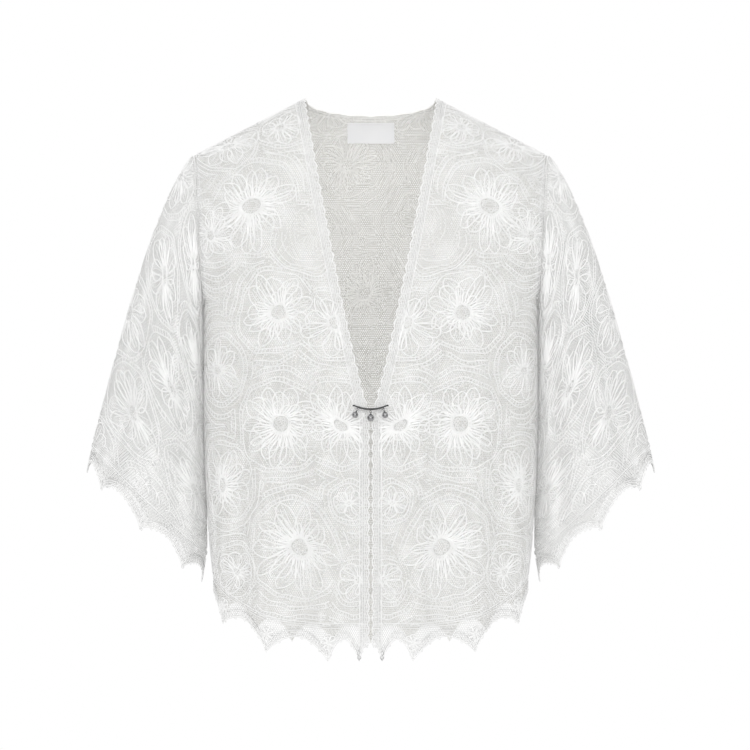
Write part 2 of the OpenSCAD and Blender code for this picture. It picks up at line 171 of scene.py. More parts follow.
# ---------------------------------------------------------------- surfaces
class Body:
    """The front (x > 0) or the back as a cloth: (a, b) in mm of cloth, a round
    the body from the middle, b down from the height of the neck points."""

    def __init__(self, back):
        self.back = back
        self.dd = np.linspace(0, 720, 181)
        phi = np.linspace(0, 90, 161)
        x = side_x(self.dd)[:, None] * sin(phi)[None, :]
        y = depth(x, self.dd[:, None] + 0 * x, back)
        step = np.hypot(np.diff(x, axis=1), np.diff(y, axis=1))
        arc = np.concatenate([np.zeros((len(self.dd), 1)), np.cumsum(step, axis=1)], axis=1)
        self.aa = np.linspace(0, 330, 331)
        self.x_of = np.array([np.interp(self.aa, arc[i], x[i]) for i in range(len(self.dd))])
        self.xx = np.linspace(0, 216, 217)
        self.a_of = np.array([np.interp(self.xx, x[i], arc[i]) for i in range(len(self.dd))])
        d = np.linspace(0, ROLL, 200)
        y = depth(100 + 0 * d, d, back)
        run = np.concatenate([[0], np.cumsum(np.hypot(np.diff(d), np.diff(y)))])
        self.extra = run[-1] - ROLL
        self.run_d = np.concatenate([d, [900]])
        self.run = np.concatenate([run, [900 + self.extra]])

    def _grid(self, table, second, d, v):
        i = np.clip(d / self.dd[1], 0, len(self.dd) - 1.001)
        j = np.clip((v - second[0]) / (second[1] - second[0]), 0, len(second) - 1.001)
        i0, j0 = i.astype(int), j.astype(int)
        fi, fj = i - i0, j - j0
        return (table[i0, j0] * (1 - fi) * (1 - fj) + table[i0 + 1, j0] * fi * (1 - fj)
                + table[i0, j0 + 1] * (1 - fi) * fj + table[i0 + 1, j0 + 1] * fi * fj)

    def to_xd(self, ab):
        a, b = np.abs(ab[:, 0]), ab[:, 1]
        x = np.minimum(a, 200)
        for _ in range(5):
            q = b + shoulder_z(x) + self.extra
            d = np.interp(q, self.run, self.run_d)
            x = self._grid(self.x_of, self.aa, d, a)
        return x * np.where(ab[:, 0] < 0, -1, 1), d, q < 0

    def from_xd(self, x, d):
        x, d = np.broadcast_arrays(np.asarray(x, float), np.asarray(d, float))
        a = self._grid(self.a_of, self.xx, d.ravel(), np.abs(x).ravel()).reshape(x.shape)
        b = np.interp(d, self.run_d, self.run) - self.extra - shoulder_z(x)
        return np.stack([a * np.where(x < 0, -1, 1), b], -1)

    def from_xz(self, x, z):
        return self.from_xd(x, shoulder_z(np.asarray(x, float)) - z)

    def point(self, x, d):
        y = depth(x, d, self.back) + GAP
        return np.stack([x, y if self.back else -y, shoulder_z(x) - d], -1)

    def frame(self, x, d):
        """Point and outward normal, in mm."""
        p = self.point(x, d)
        lim = side_x(d) - 0.05
        s = np.sign(x) + (x == 0)
        x1 = s * np.minimum(np.abs(x) + 0.6, lim)
        x0 = s * np.minimum(np.abs(x) - 0.6, lim - 1)
        du = self.point(x1, d) - self.point(x0, d)
        dv = self.point(x, d + 0.6) - self.point(x, np.maximum(d - 0.6, 0.01))
        n = np.cross(du, dv)
        n /= np.maximum(np.linalg.norm(n, axis=-1, keepdims=True), 1e-9)
        away = p - np.stack([0 * x, 0 * x, p[..., 2] - 40], -1)
        n *= np.where(np.sum(n * away, -1, keepdims=True) < 0, -1, 1)
        return p, n

    def inside(self, x, d):
        low = -(hem_base(x) + HEM_BAND - 3)
        good = (np.abs(x) <= arm_x(d) - 0.4) & (d - shoulder_z(x) <= low)
        if self.back:
            c = np.sqrt(np.clip(1 - (x / (NECK + 6)) ** 2, 0, 1))
            top = ROLL * (1 - cos(neck_edge_a(c) + 3 * c))
            return good & (d > np.where(np.abs(x) < NECK + 6, top, 0))
        return good & (x >= vee_x(d) + 7)

    def __call__(self, ab):
        x, d, above = self.to_xd(ab)
        p, n = self.frame(x, d)
        return p, n, self.inside(x, d) & ~above


def arm_ring(th, away, pinch):
    d = ARMHOLE * (1 - cos(th)) / 2
    x = arm_x(d)
    y = np.where(th <= 180, -depth(x, d, False), depth(x, d, True))
    return np.stack([x + away, y * pinch, shoulder_z(x) - d], -1)


AX = np.array([(CUFF_OUT[0] + CUFF_IN[0]) / 2 - CHEST - 5, 0,
               -(CUFF_OUT[1] + CUFF_IN[1]) / 2 + 155])
AX /= np.linalg.norm(AX)


def cuff_ring(th, off):
    k = (1 - cos(th)) / 2
    y = -SLEEVE_DEPTH * sin(th) * (1 + 0.06 * cos(3 * th))
    p = np.stack([CUFF_OUT[0] + (CUFF_IN[0] - CUFF_OUT[0]) * k, y,
                  -CUFF_OUT[1] - (CUFF_IN[1] - CUFF_OUT[1]) * k], -1)
    return p - np.asarray(off)[..., None] * AX


def pleats(th, v):
    """Soft lengthwise folds of the hanging sleeve."""
    return (4.0 * sin(5 * th + 60) + 2.4 * sin(11 * th + 20)) * ease(v * 1.5)


def sleeve_point(th, v):
    """v is 0 at the armhole, 1 at the seam of the edging, more on the edging."""
    vc = np.clip(v, 0, 1)
    a = arm_ring(th, 0.5, 1.0)
    b = cuff_ring(th, np.where(v > 1, CUFF_BAND * (2 - v), CUFF_BAND))
    g = SLEEVE_SWELL * sin(180 * np.power(vc, 0.6)) * (1 + cos(th)) / 2
    w = -1.5 * sin(180 * np.power(vc, 0.5)) * (1 - cos(th)) / 2
    p = 3 * sin(180 * vc) * sin(th) * np.abs(sin(th))
    out = a + (b - a) * vc[..., None] + np.stack([g + w, -p, 0.35 * g], -1)
    r = pleats(th, vc)
    out[..., 1] += np.where(th <= 180, -1, 1) * r * np.abs(sin(th))
    return out


class Sleeve:
    """The left sleeve: c round the arm from the top seam, forwards; l down it."""

    def __init__(self):
        self.vv = np.linspace(0, 1, 61)
        th = np.linspace(0, 360, 241)
        T, V = np.meshgrid(th, self.vv)
        p = sleeve_point(T, V)
        arc = np.concatenate([np.zeros((61, 1)), np.cumsum(
            np.linalg.norm(np.diff(p, axis=1), axis=-1), axis=1)], axis=1)
        self.round = float(arc[:, -1].mean())
        self.long = float(np.linalg.norm(np.diff(p, axis=0), axis=-1).sum(0).mean())
        self.cc = np.linspace(0, self.round, 301)
        self.th_of = np.array([np.interp(self.cc, r / r[-1] * self.round, th) for r in arc])

    def to_tv(self, ab):
        c = np.mod(ab[:, 0], self.round)
        v = ab[:, 1] / self.long
        i = np.clip(v * 60, 0, 59.999)
        j = np.clip(c / self.cc[1], 0, 299.999)
        i0, j0 = i.astype(int), j.astype(int)
        fi, fj = i - i0, j - j0
        t = self.th_of
        th = (t[i0, j0] * (1 - fi) * (1 - fj) + t[i0 + 1, j0] * fi * (1 - fj)
              + t[i0, j0 + 1] * (1 - fi) * fj + t[i0 + 1, j0 + 1] * fi * fj)
        return th, v

    def frame(self, th, v):
        p = sleeve_point(th, v)
        lo = np.maximum(v - 0.004, 0.0005)
        du = (sleeve_point(np.minimum(th + 0.7, 359.9), v)
              - sleeve_point(np.maximum(th - 0.7, 0.1), v))
        dv = sleeve_point(th, v + 0.004) - sleeve_point(th, lo)
        n = np.cross(dv, du)
        n /= np.maximum(np.linalg.norm(n, axis=-1, keepdims=True), 1e-9)
        mid = 0.5 * (sleeve_point(0 * th, v) + sleeve_point(0 * th + 180, v))
        n *= np.where(np.sum(n * (p - mid), -1, keepdims=True) < 0, -1, 1)
        return p, n

    def __call__(self, ab):
        th, v = self.to_tv(ab)
        p, n = self.frame(th, v)
        return p, n, (v > 0.004) & (v < 0.985)


# ---------------------------------------------------------------- meshes
def build(name, verts, quads, uv=None, tris=None, smooth=True, around=0.0):
    """A mesh object from arrays in mm; around is the cloth width that uv wraps at."""
    me = bpy.data.meshes.new(name)
    quads = np.asarray(quads, np.int32).reshape(-1, 4)
    tris = np.asarray([] if tris is None else tris, np.int32).reshape(-1, 3)
    loops = np.concatenate([quads.ravel(), tris.ravel()])
    me.vertices.add(len(verts))
    me.vertices.foreach_set("co", (np.asarray(verts, float) * MM).ravel())
    me.loops.add(len(loops))
    me.loops.foreach_set("vertex_index", loops)
    total = np.concatenate([np.full(len(quads), 4), np.full(len(tris), 3)]).astype(np.int32)
    me.polygons.add(len(total))
    starts = np.concatenate([[0], np.cumsum(total)[:-1]]).astype(np.int32)
    me.polygons.foreach_set("loop_start", starts)
    me.polygons.foreach_set("loop_total", total)
    me.polygons.foreach_set("use_smooth", np.full(len(total), smooth))
    if uv is not None:
        layer = me.uv_layers.new(name="cloth")
        flat = np.asarray(uv, float)[loops]
        if around:
            u = flat[:, 0].reshape(-1, 4)
            far = u.max(1, keepdims=True) - u > around / 2
            flat[:, 0] = np.where(far, u + around, u).ravel()
        layer.data.foreach_set("uv", (flat * 0.001).ravel())
    me.update()
    me.validate()
    ob = bpy.data.objects.new(name, me)
    bpy.context.scene.collection.objects.link(ob)
    return ob


def mirrored(verts, quads):
    v = np.array(verts, float)
    v[:, 0] *= -1
    return v, np.asarray(quads)[:, ::-1]


LONGEST_STEP = 14.0          # a longer step of a cord is a jump and gets no mesh


class Threads:
    """Cords laid on a surface, gathered into one mesh."""

    def __init__(self, proud=1.0):
        self.proud = proud
        self.wait = []
        self.V, self.F, self.UV, self.n = [], [], [], 0

    def cord(self, pts, w=1.2, h=0.9, lift=0.3, closed=False, clip=True):
        pts = np.asarray(pts, float)
        if len(pts) > 1:
            self.wait.append((pts, w, h, lift, closed, clip))

    def flush(self, surf, drift=None):
        """drift moves the drawn lines a little, so that no ring stays round."""
        pts = np.concatenate([c[0] for c in self.wait])
        if drift is not None:
            pts = drift(pts)
        P, N, ok = surf(pts)
        self._cords(P, N, ok, pts)
        self.wait = []

    def _cords(self, P, N, ok, ab):
        n = len(P)
        nxt, prv = np.full(n, -1), np.full(n, -1)
        w, h, lift = np.zeros(n), np.zeros(n), np.zeros(n)
        at = 0
        for pts, cw, ch, cl, closed, clip in self.wait:
            m = len(pts)
            idx = np.arange(at, at + m)
            nxt[idx[:-1]] = idx[1:]
            prv[idx[1:]] = idx[:-1]
            if closed:
                nxt[idx[-1]], prv[idx[0]] = idx[0], idx[-1]
            w[idx], h[idx], lift[idx] = cw, ch, cl
            if not clip:
                ok[idx] = True
            at += m
        j = np.where(nxt >= 0, nxt, np.arange(n))
        i = np.where(prv >= 0, prv, np.arange(n))
        T = P[j] - P[i]
        T /= np.maximum(np.linalg.norm(T, axis=1, keepdims=True), 1e-9)
        S = np.cross(N, T)
        S /= np.maximum(np.linalg.norm(S, axis=1, keepdims=True), 1e-9)
        C = P + (lift * self.proud)[:, None] * N
        ring = np.stack([C - S * w[:, None] / 2, C + N * h[:, None] / 2,
                         C + S * w[:, None] / 2, C - N * h[:, None] / 2], 1)
        jump = np.linalg.norm(P[j] - P, axis=1)
        valid = (nxt >= 0) & ok & ok[j] & (jump < LONGEST_STEP)
        s = np.where(valid)[0]
        e = nxt[s]
        faces = [np.stack([4 * s + q, 4 * s + (q + 1) % 4, 4 * e + (q + 1) % 4, 4 * e + q], 1)
                 for q in range(4)]
        into = np.zeros(n, bool)
        into[e] = True
        first = np.where(valid & ~into)[0]
        last = np.where(into & ~valid)[0]
        faces.append(np.stack([4 * first + 3, 4 * first + 2, 4 * first + 1, 4 * first], 1))
        faces.append(np.stack([4 * last, 4 * last + 1, 4 * last + 2, 4 * last + 3], 1))
        self._take(ring.reshape(-1, 3), np.concatenate(faces), np.repeat(ab, 4, axis=0))

    def _take(self, V, F, UV):
        used = np.zeros(len(V), bool)
        used[F.ravel()] = True
        new = np.cumsum(used) - 1
        self.V.append(V[used])
        self.F.append(new[F] + self.n)
        self.UV.append(UV[used])
        self.n += int(used.sum())

    def arrays(self):
        return np.concatenate(self.V), np.concatenate(self.F), np.concatenate(self.UV)


def drifting(size, across, down, seed):
    """A slow sideways and lengthwise wander of the lace design, in mm."""
    def move(p):
        u, v = 2 * math.pi * p[:, 0] / across, 2 * math.pi * p[:, 1] / down
        du = np.sin(v + seed) + 0.6 * np.sin(2 * u - v + 2 * seed) + 0.35 * np.sin(3 * v + 4 * u)
        dv = np.sin(u + 1.7 * seed) + 0.6 * np.sin(2 * v + u + seed) + 0.35 * np.sin(4 * u - 3 * v)
        return p + size * np.stack([du, dv], 1)
    return move


def arc_pts(c, r, a0, a1, step=3.2):
    m = max(4, int(abs(math.radians(a1 - a0)) * r / step) + 1)
    t = np.linspace(a0, a1, m)
    return np.stack([c[0] + r * cos(t), c[1] + r * sin(t)], 1)


def ring_pts(c, r, step=3.2, wave=0, waves=0):
    m = max(8, int(2 * math.pi * r / step))
    t = np.arange(m) * 360 / m
    rr = r + wave * np.abs(sin(t * waves / 2))
    return np.stack([c[0] + rr * cos(t), c[1] + rr * sin(t)], 1)


def petal(T, c, ang, r0, r1, width, bend=0.0, veins=2):
    """One petal: a thick corded outline round open net, with thin veins."""
    u = np.array([math.cos(ang), math.sin(ang)])
    v = np.array([-u[1], u[0]])
    s = np.linspace(0, 1, 11)

    def spine(t):
        return np.asarray(c) + np.outer(r0 + (r1 - r0) * t, u) + np.outer(bend * t * t, v)

    half = width / 2 * np.power(np.clip(np.sin(np.pi * np.power(s, 1.45)), 0, 1), 0.62)
    mid = spine(s)
    side = half[:, None] * v
    T.cord(np.concatenate([mid + side, (mid - side)[-2:0:-1]]), 1.9, 1.3, 0.4, closed=True)
    s2 = np.linspace(0.04, 0.84, 7)
    h2 = width / 2 * np.power(np.sin(np.pi * np.power(s2, 1.45)), 0.62)
    for k in range(veins):
        off = 0.5 * (k - (veins - 1) / 2) * (2 / max(veins, 1))
        T.cord(spine(s2) + (h2 * off)[:, None] * v, 1.1, 0.9, 0.3)


def flower(T, c, R, turn=0.0, n=None):
    """A big many-petalled lace flower with an eyelet heart."""
    c = np.asarray(c, float)
    small = n is not None
    n = n or max(8, int(round(2 * math.pi * R / 19)))
    for k in range(0 if small or R < 40 else n):
        a = turn + 2 * math.pi * (k + 0.5) / n
        petal(T, c, a, R * 0.17, R * (0.56, 0.64, 0.5)[k % 3], 2 * math.pi * R * 0.40 / n * 1.1,
              bend=-R * 0.05, veins=0)
    for k in range(n):
        a = turn + 2 * math.pi * k / n
        long = R * (1.04, 0.84, 0.96, 0.9, 1.08)[k % 5]
        petal(T, c, a, R * 0.17, long, 2 * math.pi * R * 0.72 / n * (1.2, 1.05, 1.3)[k % 3],
              bend=R * 0.10 * math.sin(2.3 * k + turn), veins=2 if R > 24 else 1)
    T.cord(ring_pts(c, R * 0.19, 2.2), 1.5, 1.2, 0.4, closed=True)
    m = max(4, int(2 * math.pi * R * 0.115 / 4.2))
    for k in range(m):
        a = 2 * math.pi * k / m
        T.cord(ring_pts(c + R * 0.115 * np.array([math.cos(a), math.sin(a)]), 1.6, 1.5),
               1.0, 1.0, 0.4, closed=True)


def echoes(T, discs, reach, first=3.5, step=3.4, rung=4.4):
    """Nested ladder rows that follow the flowers, as the ground of the lace."""
    C = np.array([d[:2] for d in discs], float)
    R = np.array([d[2] for d in discs], float)

    def owned(p, i):
        g = np.linalg.norm(p[:, None, :] - C[None], axis=2) - R[None]
        return g[:, i] <= g.min(1) + 0.3

    def runs(p, keep, **k):
        on = np.where(keep)[0]
        if len(on) < 2:
            return
        for part in np.split(on, np.where(np.diff(on) > 1)[0] + 1):
            if len(part) > 1:
                T.cord(p[part], **k)

    for i, (x, y, r) in enumerate(discs):
        k, at = 0, r + first
        while at < r + reach:
            p = ring_pts((x, y), at, step)
            p = np.concatenate([p, p[:1]])
            runs(p, owned(p, i), w=1.6 if k % 2 == 0 else 1.4, h=1.1, lift=0.35)
            gap = 4.6 if k % 2 == 0 else 7.4
            if k % 2 == 0:
                m = int(2 * math.pi * (at + gap / 2) / rung)
                t = np.arange(m) * 360 / m
                dirs = np.stack([cos(t), sin(t)], 1)
                a0 = np.array([x, y]) + dirs * at
                a1 = np.array([x, y]) + dirs * (at + gap)
                good = owned(a0, i) & owned(a1, i)
                for q in np.where(good)[0]:
                    T.cord([a0[q], a1[q]], 1.1, 0.9, 0.3)
            at += gap
            k += 1


def dots(T, ab, r=0.9):
    for p in ab:
        T.cord([p - [r, 0], p + [r, 0]], 1.6, 1.0, 0.3)


# ---------------------------------------------------------------- materials
def material(name, color, rough=0.7, metal=0.0, spec=0.4):
    m = bpy.data.materials.new(name)
    m.use_nodes = True
    b = m.node_tree.nodes["Principled BSDF"]
    b.inputs["Base Color"].default_value = (*color, 1)
    b.inputs["Roughness"].default_value = rough
    b.inputs["Metallic"].default_value = metal
    b.inputs["Specular IOR Level"].default_value = spec
    return m, m.node_tree, b


def node(t, kind, **props):
    n = t.nodes.new(kind)
    for k, v in props.items():
        setattr(n, k, v)
    return n


def cloth_uv(t):
    return node(t, "ShaderNodeUVMap", uv_map="cloth").outputs["UV"]


def tint(t, b, source, scale, low, high, detail=3.0):
    """A soft mottling between two colours, linked to Base Color."""
    nz = node(t, "ShaderNodeTexNoise")
    nz.inputs["Scale"].default_value = scale
    nz.inputs["Detail"].default_value = detail
    if source is not None:
        t.links.new(source, nz.inputs["Vector"])
    ramp = node(t, "ShaderNodeValToRGB")
    ramp.color_ramp.elements[0].position = 0.3
    ramp.color_ramp.elements[0].color = (*low, 1)
    ramp.color_ramp.elements[1].position = 0.7
    ramp.color_ramp.elements[1].color = (*high, 1)
    t.links.new(nz.outputs["Fac"], ramp.inputs["Fac"])
    t.links.new(ramp.outputs["Color"], b.inputs["Base Color"])
    return ramp


def bumped(t, b, height, strength, distance):
    bp = node(t, "ShaderNodeBump")
    bp.inputs["Strength"].default_value = strength
    bp.inputs["Distance"].default_value = distance
    t.links.new(height, bp.inputs["Height"])
    t.links.new(bp.outputs["Normal"], b.inputs["Normal"])


def thread_material(name, low, high):
    """Spun cotton thread: mottled white with a fine diagonal twist."""
    m, t, b = material(name, high, 0.62, 0.0, 0.35)
    uv = cloth_uv(t)
    tint(t, b, uv, 90, low, high)
    wv = node(t, "ShaderNodeTexWave", wave_type="BANDS", bands_direction="DIAGONAL")
    wv.inputs["Scale"].default_value = 700
    wv.inputs["Distortion"].default_value = 1.2
    t.links.new(uv, wv.inputs["Vector"])
    bumped(t, b, wv.outputs["Fac"], 0.25, 0.0002)
    b.inputs["Sheen Weight"].default_value = 0.25
    b.inputs["Sheen Roughness"].default_value = 0.5
    return m


def net_material(name, low, high, pitch, open_at, cover=1.0):
    """Fine hexagonal net: round holes on a triangular grid in cloth lengths."""
    m, t, b = material(name, high, 0.8, 0.0, 0.25)
    uv = cloth_uv(t)
    tint(t, b, uv, 60, low, high)
    total = None
    k = 4 * math.pi / (math.sqrt(3) * pitch)
    for a in (90, 210, 330):
        dot = node(t, "ShaderNodeVectorMath", operation="DOT_PRODUCT")
        dot.inputs[1].default_value = (k * float(cos(a)), k * float(sin(a)), 0)
        t.links.new(uv, dot.inputs[0])
        c = node(t, "ShaderNodeMath", operation="COSINE")
        t.links.new(dot.outputs["Value"], c.inputs[0])
        if total is None:
            total = c.outputs[0]
        else:
            add = node(t, "ShaderNodeMath", operation="ADD")
            t.links.new(total, add.inputs[0])
            t.links.new(c.outputs[0], add.inputs[1])
            total = add.outputs[0]
    mr = node(t, "ShaderNodeMapRange")
    mr.inputs["From Min"].default_value = open_at - 0.25
    mr.inputs["From Max"].default_value = open_at + 0.25
    mr.inputs["To Min"].default_value = cover
    mr.inputs["To Max"].default_value = 0.0
    t.links.new(total, mr.inputs["Value"])
    t.links.new(mr.outputs["Result"], b.inputs["Alpha"])
    return m


WHITE_NET = net_material("white_net", (0.66, 0.66, 0.655), (0.73, 0.73, 0.72), 0.0026, -0.15)
# Painted shade: the back's copy of the white net is darker and warmer than the front's, for the
# shade inside the garment.
BACK_NET_PAINTED_SHADE = net_material("back_net", (0.61, 0.60, 0.565), (0.68, 0.67, 0.635), 0.0026, 0.35)
THREAD = thread_material("white_thread", (0.79, 0.79, 0.785), (0.85, 0.85, 0.845))
# Painted light: the back's copy of the thread is brighter than the front's, so that its cords stay
# white in the shade inside the garment.
BACK_THREAD_PAINTED_LIGHT = thread_material("back_thread_painted_light", (0.94, 0.935, 0.91), (0.97, 0.965, 0.945))
SEAM = thread_material("seam_thread", (0.80, 0.80, 0.79), (0.88, 0.88, 0.87))


def label_material():
    m, t, b = material("label_satin", (0.95, 0.95, 0.96), 0.38, 0.0, 0.5)
    uv = cloth_uv(t)
    tint(t, b, uv, 40, (0.93, 0.935, 0.95), (0.97, 0.97, 0.98))
    wv = node(t, "ShaderNodeTexWave", wave_type="BANDS", bands_direction="Y")
    wv.inputs["Scale"].default_value = 420
    t.links.new(uv, wv.inputs["Vector"])
    bumped(t, b, wv.outputs["Fac"], 0.3, 0.0002)
    return m


def metal_material(name, low, high, rough, metal, scale=900.0, spec=0.5):
    """Metal or enamel with fine handling marks in colour and roughness."""
    m, t, b = material(name, high, rough, metal, spec)
    tc = node(t, "ShaderNodeTexCoord").outputs["Object"]
    tint(t, b, tc, scale, low, high, 5.0)
    nz = node(t, "ShaderNodeTexNoise")
    nz.inputs["Scale"].default_value = scale * 2
    nz.inputs["Detail"].default_value = 6
    t.links.new(tc, nz.inputs["Vector"])
    mr = node(t, "ShaderNodeMapRange")
    mr.inputs["To Min"].default_value = max(0.03, rough - 0.07)
    mr.inputs["To Max"].default_value = rough + 0.1
    t.links.new(nz.outputs["Fac"], mr.inputs["Value"])
    t.links.new(mr.outputs["Result"], b.inputs["Roughness"])
    return m


BLACK = metal_material("bar_black", (0.006, 0.006, 0.007), (0.018, 0.018, 0.02), 0.22, 0.0,
                       500, 0.6)
STEEL = metal_material("pin_steel", (0.42, 0.42, 0.43), (0.58, 0.58, 0.60), 0.28, 1.0)
DARK = metal_material("ring_metal", (0.10, 0.10, 0.11), (0.20, 0.20, 0.21), 0.25, 1.0)
PEARL = metal_material("bead_pearl", (0.20, 0.20, 0.205), (0.34, 0.34, 0.345), 0.2, 0.7, 260)
PEARL_SHADER = PEARL.node_tree.nodes["Principled BSDF"]
PEARL_SHADER.inputs["Coat Weight"].default_value = 0.35
PEARL_SHADER.inputs["Coat Roughness"].default_value = 0.06
LABEL = label_material()


def dress(ob, mat, slot_name):
    ob.data.materials.clear()
    ob.data.materials.append(mat)
    return ob


# ---------------------------------------------------------------- patterns
FRONT, BACK, ARM = Body(False), Body(True), Sleeve()

# Flowers of the fronts: across from the middle, height and radius
FRONT_FLOWERS = ((138, -134, 50), (184, -160, 33), (166, -58, 34), (111, -257, 42),
                 (45, -268, 34), (36, -381, 44), (107, -388, 48), (175, -318, 34),
                 (86, -531, 52), (170, -450, 40), (20, -560, 22), (160, -552, 28),
                 (100, -40, 26), (20, -470, 20))
FRONT_MOON = (72, -172, 38)
BACK_FLOWERS = ((-24, -68, 38), (-6, -226, 40), (56, -140, 26), (-72, -150, 28),
                (30, -318, 34), (-58, -318, 34))


def front_lace():
    T = Threads()
    discs = []
    for i, (x, z, r) in enumerate(FRONT_FLOWERS):
        c = FRONT.from_xz(float(x), float(z))
        discs.append((c[0], c[1], r))
        flower(T, c, r, turn=0.37 * i)
    c = FRONT.from_xz(float(FRONT_MOON[0]), float(FRONT_MOON[1]))
    discs.append((c[0], c[1], FRONT_MOON[2]))
    for k, r in enumerate((FRONT_MOON[2], FRONT_MOON[2] - 5, FRONT_MOON[2] - 12)):
        T.cord(arc_pts(c, r, -10, 215, 3.2), 1.1, 0.9, 0.3)
    spots = np.array([c + [7.5 * i + (3.7 if j % 2 else 0), 6.5 * j]
                      for i in range(-3, 4) for j in range(-3, 3)])
    spots = spots[np.linalg.norm(spots - c, axis=1) < FRONT_MOON[2] - 15]
    dots(T, spots, 0.6)
    echoes(T, discs, 62)
    T.flush(FRONT, drifting(3.6, 165, 150, 0.6))
    return T.arrays()


def scattered(flowers, lo, hi, pitch, radius, rng):
    """Fills a field with more flowers on a half-drop grid, clear of the given ones."""
    out = list(flowers)
    j, y = 0, lo[1]
    while y <= hi[1]:
        x = lo[0] + (pitch / 2 if j % 2 else 0)
        while x <= hi[0]:
            p = (x + rng.uniform(-6, 6), y + rng.uniform(-6, 6))
            r = radius * rng.uniform(0.86, 1.08)
            if all(math.hypot(p[0] - q[0], p[1] - q[1]) > (r + q[2]) * 0.97 for q in out):
                out.append((p[0], p[1], r))
            x += pitch
        y += pitch * 0.86
        j += 1
    return out


def back_lace():
    rng = np.random.default_rng(5)
    given = []
    for x, z, r in BACK_FLOWERS:
        c = BACK.from_xz(float(x), float(z))
        given.append((c[0], c[1], r))
    discs = scattered(given, (-250, -10), (250, 640), 99, 41, rng)
    T = Threads(-1.0)
    for i, (x, y, r) in enumerate(discs):
        flower(T, (x, y), r, turn=0.41 * i)
    echoes(T, discs, 32, step=6.0, rung=7.2)
    T.flush(BACK, drifting(3.6, 165, 150, 2.1))
    return T.arrays()


def sleeve_lace():
    """Drawn narrower than the sleeve is round, then widened: the cloth is laid in a
    flattened tube, where flowers keep their shape as seen from the front."""
    rng = np.random.default_rng(11)
    wide = 1.42
    R = ARM.round / wide
    pitch = R / 4
    discs = []
    for j in range(5):
        for i in range(4):
            discs.append(((i + (0.5 if j % 2 else 0.0)) * pitch + pitch * 0.1,
                          24 + j * 78.0, 34 * rng.uniform(0.92, 1.1)))
    T = Threads()
    for i, (x, y, r) in enumerate(discs):
        flower(T, (x, y), r, turn=0.53 * i)
    wrapped = [(x + s * R, y, r) for s in (-1, 0, 1) for x, y, r in discs]
    C = Threads()
    echoes(C, wrapped, 34)
    for pts, w, h, lift, closed, clip in C.wait:
        if 0 <= pts[len(pts) // 2, 0] < R:
            T.cord(pts, w, h, lift, closed, clip)
    wander = drifting(3.2, R / 2, 140, 1.4)
    T.flush(ARM, lambda p: wander(p) * [wide, 1])
    return T.arrays()


# ---------------------------------------------------------------- edgings
def body_cord(T, surf, x, d, w, h, lift=0.5, closed=False):
    T.cord(surf.from_xd(x, d), w, h, lift, closed, clip=False)


def ladder(T, surf, x0, d0, x1, d1, every, w=0.9, h=0.8, lift=0.45):
    for k in range(0, len(x0), every):
        T.cord(surf.from_xd(np.array([x0[k], x1[k]]), np.array([d0[k], d1[k]])), w, h, lift,
               clip=False)


def down_steps(low, step):
    """Depths d along the front edge at even cloth steps, from shoulder to low."""
    run = np.arange(0.6, np.interp(low, FRONT.run_d, FRONT.run), step)
    return np.interp(run, FRONT.run, FRONT.run_d)


def front_edging():
    T = Threads()
    low = -hem_base(EDGING) - 15
    d = down_steps(low, 2.0)
    phase = np.abs(sin(180 * np.arange(len(d)) * 2.0 / 13))
    sc = 2.6 * (1 - phase)
    x = vee_x(d)
    body_cord(T, FRONT, x + 0.7 + sc, d, 1.7, 1.5)
    body_cord(T, FRONT, x + 3.6 + sc * 0.6, d, 1.0, 1.0)
    body_cord(T, FRONT, x + 6.2, d, 1.2, 1.2)
    body_cord(T, FRONT, x + 11.6, d, 1.6, 1.4)
    body_cord(T, FRONT, x + 9.9, d, 0.9, 1.0)
    zig = np.where(np.arange(len(d)) % 2 == 0, 6.4, 9.8)
    body_cord(T, FRONT, x + zig, d, 1.0, 0.9)
    ladder(T, FRONT, x + 0.7 + sc, d, x + 6.2, d, 2, 1.1)
    body_cord(T, FRONT, x + 8.1, d, 1.3, 1.1)
    for k in range(3, len(d) - 3, 13):
        c = FRONT.from_xd(x[k] + 0.9, d[k])
        T.cord(ring_pts(c, 1.15, 1.3), 0.8, 0.9, 0.5, True, False)
    T.flush(FRONT)
    return T.arrays()


def hem_lines(x, cusps):
    """Depth below the shoulder line of the scalloped edge."""
    return shoulder_z(x) - (hem_base(x) + HEM_SCALLOP * swell(x, cusps))


